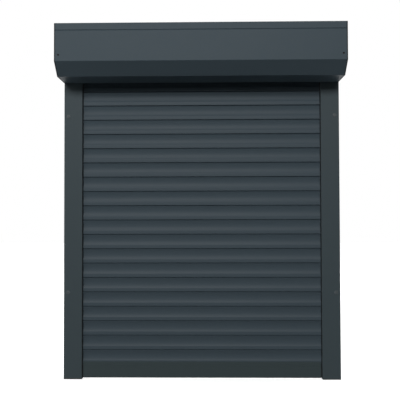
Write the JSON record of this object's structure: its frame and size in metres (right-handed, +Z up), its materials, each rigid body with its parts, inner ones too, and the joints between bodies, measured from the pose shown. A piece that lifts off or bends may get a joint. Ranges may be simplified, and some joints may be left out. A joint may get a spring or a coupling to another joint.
{
  "type": "exterior roller shutter",
  "caption": "Front-mounted exterior roller shutter: chamfered casing, guide rails, motor-driven roller and a closed curtain of hooked hollow slats.",
  "frame": {"origin": "under the middle of the whole shutter: middle of its width and depth, on the level of the rails' feet", "axes": "+Z up, +Y towards the wall, +X to the right as seen from outside"},
  "size_m": [0.8, 0.14, 1],
  "materials": {
    "casing_paint": "satin powder coat, anthracite",
    "rail_paint": "satin powder coat, anthracite",
    "slat_paint": "satin baked coating, anthracite",
    "cast_paint": "cast aluminium, satin powder coat",
    "screw_paint": "dark lacquered steel",
    "seal_rubber": "matt black rubber",
    "black_plastic": "matt moulded plastic",
    "plug_plastic": "matt moulded plastic, dark grey",
    "grey_plastic": "matt glass-filled plastic",
    "galvanised_steel": "galvanised sheet steel",
    "bright_steel": "ground steel",
    "spring_steel": "rolled spring steel",
    "motor_shell": "pale lacquered tube"
  },
  "bodies": {
    "fixed_frame": {"rear_casing": "casing_paint", "inspection_cover": "casing_paint", "end_cap_left": "cast_paint", "end_cap_right": "cast_paint", "casing_screws": "screw_paint", "motor_bracket": "galvanised_steel", "bracket_screws": "bright_steel", "motor_tube": "motor_shell", "motor_head": "black_plastic", "bearing_outer_ring": "bright_steel", "cable_grommet": "seal_rubber", "inlet_funnel_left": "black_plastic", "inlet_funnel_right": "black_plastic", "guide_rail_left": "rail_paint", "guide_rail_right": "rail_paint", "rail_seals_left": "seal_rubber", "rail_seals_right": "seal_rubber", "rail_foot_left": "black_plastic", "rail_foot_right": "black_plastic", "rail_plugs": "plug_plastic"},
    "roller": {"roller_tube": "galvanised_steel", "drive_wheel": "grey_plastic", "motor_output": "bright_steel", "crown_ring": "grey_plastic", "idler_cap": "grey_plastic", "idler_pin": "bright_steel", "bearing_inner_ring": "bright_steel", "hanger_straps": "spring_steel"},
    "end_bar": {"end_bar": "rail_paint", "end_bar_seal": "seal_rubber", "end_bar_glides": "black_plastic"},
    "slat_01": {"slat_01": "slat_paint", "end_locks_01": "black_plastic"},
    "slat_02": {"slat_02": "slat_paint"},
    "slat_03": {"slat_03": "slat_paint"},
    "slat_04": {"slat_04": "slat_paint", "end_locks_04": "black_plastic"},
    "slat_05": {"slat_05": "slat_paint"},
    "slat_06": {"slat_06": "slat_paint"},
    "slat_07": {"slat_07": "slat_paint", "end_locks_07": "black_plastic"},
    "slat_08": {"slat_08": "slat_paint"},
    "slat_09": {"slat_09": "slat_paint"},
    "slat_10": {"slat_10": "slat_paint", "end_locks_10": "black_plastic"},
    "slat_11": {"slat_11": "slat_paint"},
    "slat_12": {"slat_12": "slat_paint"},
    "slat_13": {"slat_13": "slat_paint", "end_locks_13": "black_plastic"},
    "slat_14": {"slat_14": "slat_paint"},
    "slat_15": {"slat_15": "slat_paint"},
    "slat_16": {"slat_16": "slat_paint", "end_locks_16": "black_plastic"},
    "slat_17": {"slat_17": "slat_paint"},
    "slat_18": {"slat_18": "slat_paint"},
    "slat_19": {"slat_19": "slat_paint", "end_locks_19": "black_plastic"},
    "slat_20": {"slat_20": "slat_paint"},
    "hangers": {"hanger_clips": "black_plastic"}
  },
  "joints": [
    {"name": "shaft_turn", "type": "hinge", "parent": "fixed_frame", "child": "roller", "pos_m": [0, 0, 0.93], "axis": [1, 0, 0], "range_deg": [0, 209.85], "deforming": ["hanger_straps"]},
    {"name": "end_bar_rise", "type": "slide", "parent": "fixed_frame", "child": "end_bar", "axis": [0, 0, 1], "range_m": [0, 0.0366]},
    {"name": "slat_01_rise", "type": "slide", "parent": "fixed_frame", "child": "slat_01", "axis": [0, 0, 1], "range_m": [0, 0.0394]},
    {"name": "slat_02_rise", "type": "slide", "parent": "fixed_frame", "child": "slat_02", "axis": [0, 0, 1], "range_m": [0, 0.0422]},
    {"name": "slat_03_rise", "type": "slide", "parent": "fixed_frame", "child": "slat_03", "axis": [0, 0, 1], "range_m": [0, 0.045]},
    {"name": "slat_04_rise", "type": "slide", "parent": "fixed_frame", "child": "slat_04", "axis": [0, 0, 1], "range_m": [0, 0.0478]},
    {"name": "slat_05_rise", "type": "slide", "parent": "fixed_frame", "child": "slat_05", "axis": [0, 0, 1], "range_m": [0, 0.0506]},
    {"name": "slat_06_rise", "type": "slide", "parent": "fixed_frame", "child": "slat_06", "axis": [0, 0, 1], "range_m": [0, 0.0534]},
    {"name": "slat_07_rise", "type": "slide", "parent": "fixed_frame", "child": "slat_07", "axis": [0, 0, 1], "range_m": [0, 0.0562]},
    {"name": "slat_08_rise", "type": "slide", "parent": "fixed_frame", "child": "slat_08", "axis": [0, 0, 1], "range_m": [0, 0.059]},
    {"name": "slat_09_rise", "type": "slide", "parent": "fixed_frame", "child": "slat_09", "axis": [0, 0, 1], "range_m": [0, 0.0618]},
    {"name": "slat_10_rise", "type": "slide", "parent": "fixed_frame", "child": "slat_10", "axis": [0, 0, 1], "range_m": [0, 0.0646]},
    {"name": "slat_11_rise", "type": "slide", "parent": "fixed_frame", "child": "slat_11", "axis": [0, 0, 1], "range_m": [0, 0.0674]},
    {"name": "slat_12_rise", "type": "slide", "parent": "fixed_frame", "child": "slat_12", "axis": [0, 0, 1], "range_m": [0, 0.0702]},
    {"name": "slat_13_rise", "type": "slide", "parent": "fixed_frame", "child": "slat_13", "axis": [0, 0, 1], "range_m": [0, 0.073]},
    {"name": "slat_14_rise", "type": "slide", "parent": "fixed_frame", "child": "slat_14", "axis": [0, 0, 1], "range_m": [0, 0.0758]},
    {"name": "slat_15_rise", "type": "slide", "parent": "fixed_frame", "child": "slat_15", "axis": [0, 0, 1], "range_m": [0, 0.0786]},
    {"name": "slat_16_rise", "type": "slide", "parent": "fixed_frame", "child": "slat_16", "axis": [0, 0, 1], "range_m": [0, 0.0814]},
    {"name": "slat_17_rise", "type": "slide", "parent": "fixed_frame", "child": "slat_17", "axis": [0, 0, 1], "range_m": [0, 0.0842]},
    {"name": "slat_18_rise", "type": "slide", "parent": "fixed_frame", "child": "slat_18", "axis": [0, 0, 1], "range_m": [0, 0.087]},
    {"name": "slat_19_rise", "type": "slide", "parent": "fixed_frame", "child": "slat_19", "axis": [0, 0, 1], "range_m": [0, 0.0898]},
    {"name": "slat_20_rise", "type": "slide", "parent": "fixed_frame", "child": "slat_20", "axis": [0, 0, 1], "range_m": [0, 0.0926]},
    {"name": "hangers_rise", "type": "slide", "parent": "fixed_frame", "child": "hangers", "axis": [0, 0, 1], "range_m": [0, 0.0954]}
  ],
  "couplings": [
    {"joint": "end_bar_rise", "follows": "shaft_turn", "m_per_rad": 0.009993},
    {"joint": "slat_01_rise", "follows": "shaft_turn", "m_per_rad": 0.010757},
    {"joint": "slat_02_rise", "follows": "shaft_turn", "m_per_rad": 0.011522},
    {"joint": "slat_03_rise", "follows": "shaft_turn", "m_per_rad": 0.012286},
    {"joint": "slat_04_rise", "follows": "shaft_turn", "m_per_rad": 0.013051},
    {"joint": "slat_05_rise", "follows": "shaft_turn", "m_per_rad": 0.013815},
    {"joint": "slat_06_rise", "follows": "shaft_turn", "m_per_rad": 0.01458},
    {"joint": "slat_07_rise", "follows": "shaft_turn", "m_per_rad": 0.015344},
    {"joint": "slat_08_rise", "follows": "shaft_turn", "m_per_rad": 0.016109},
    {"joint": "slat_09_rise", "follows": "shaft_turn", "m_per_rad": 0.016873},
    {"joint": "slat_10_rise", "follows": "shaft_turn", "m_per_rad": 0.017638},
    {"joint": "slat_11_rise", "follows": "shaft_turn", "m_per_rad": 0.018402},
    {"joint": "slat_12_rise", "follows": "shaft_turn", "m_per_rad": 0.019167},
    {"joint": "slat_13_rise", "follows": "shaft_turn", "m_per_rad": 0.019931},
    {"joint": "slat_14_rise", "follows": "shaft_turn", "m_per_rad": 0.020696},
    {"joint": "slat_15_rise", "follows": "shaft_turn", "m_per_rad": 0.02146},
    {"joint": "slat_16_rise", "follows": "shaft_turn", "m_per_rad": 0.022225},
    {"joint": "slat_17_rise", "follows": "shaft_turn", "m_per_rad": 0.022989},
    {"joint": "slat_18_rise", "follows": "shaft_turn", "m_per_rad": 0.023754},
    {"joint": "slat_19_rise", "follows": "shaft_turn", "m_per_rad": 0.024518},
    {"joint": "slat_20_rise", "follows": "shaft_turn", "m_per_rad": 0.025283},
    {"joint": "hangers_rise", "follows": "shaft_turn", "m_per_rad": 0.026047}
  ]
}
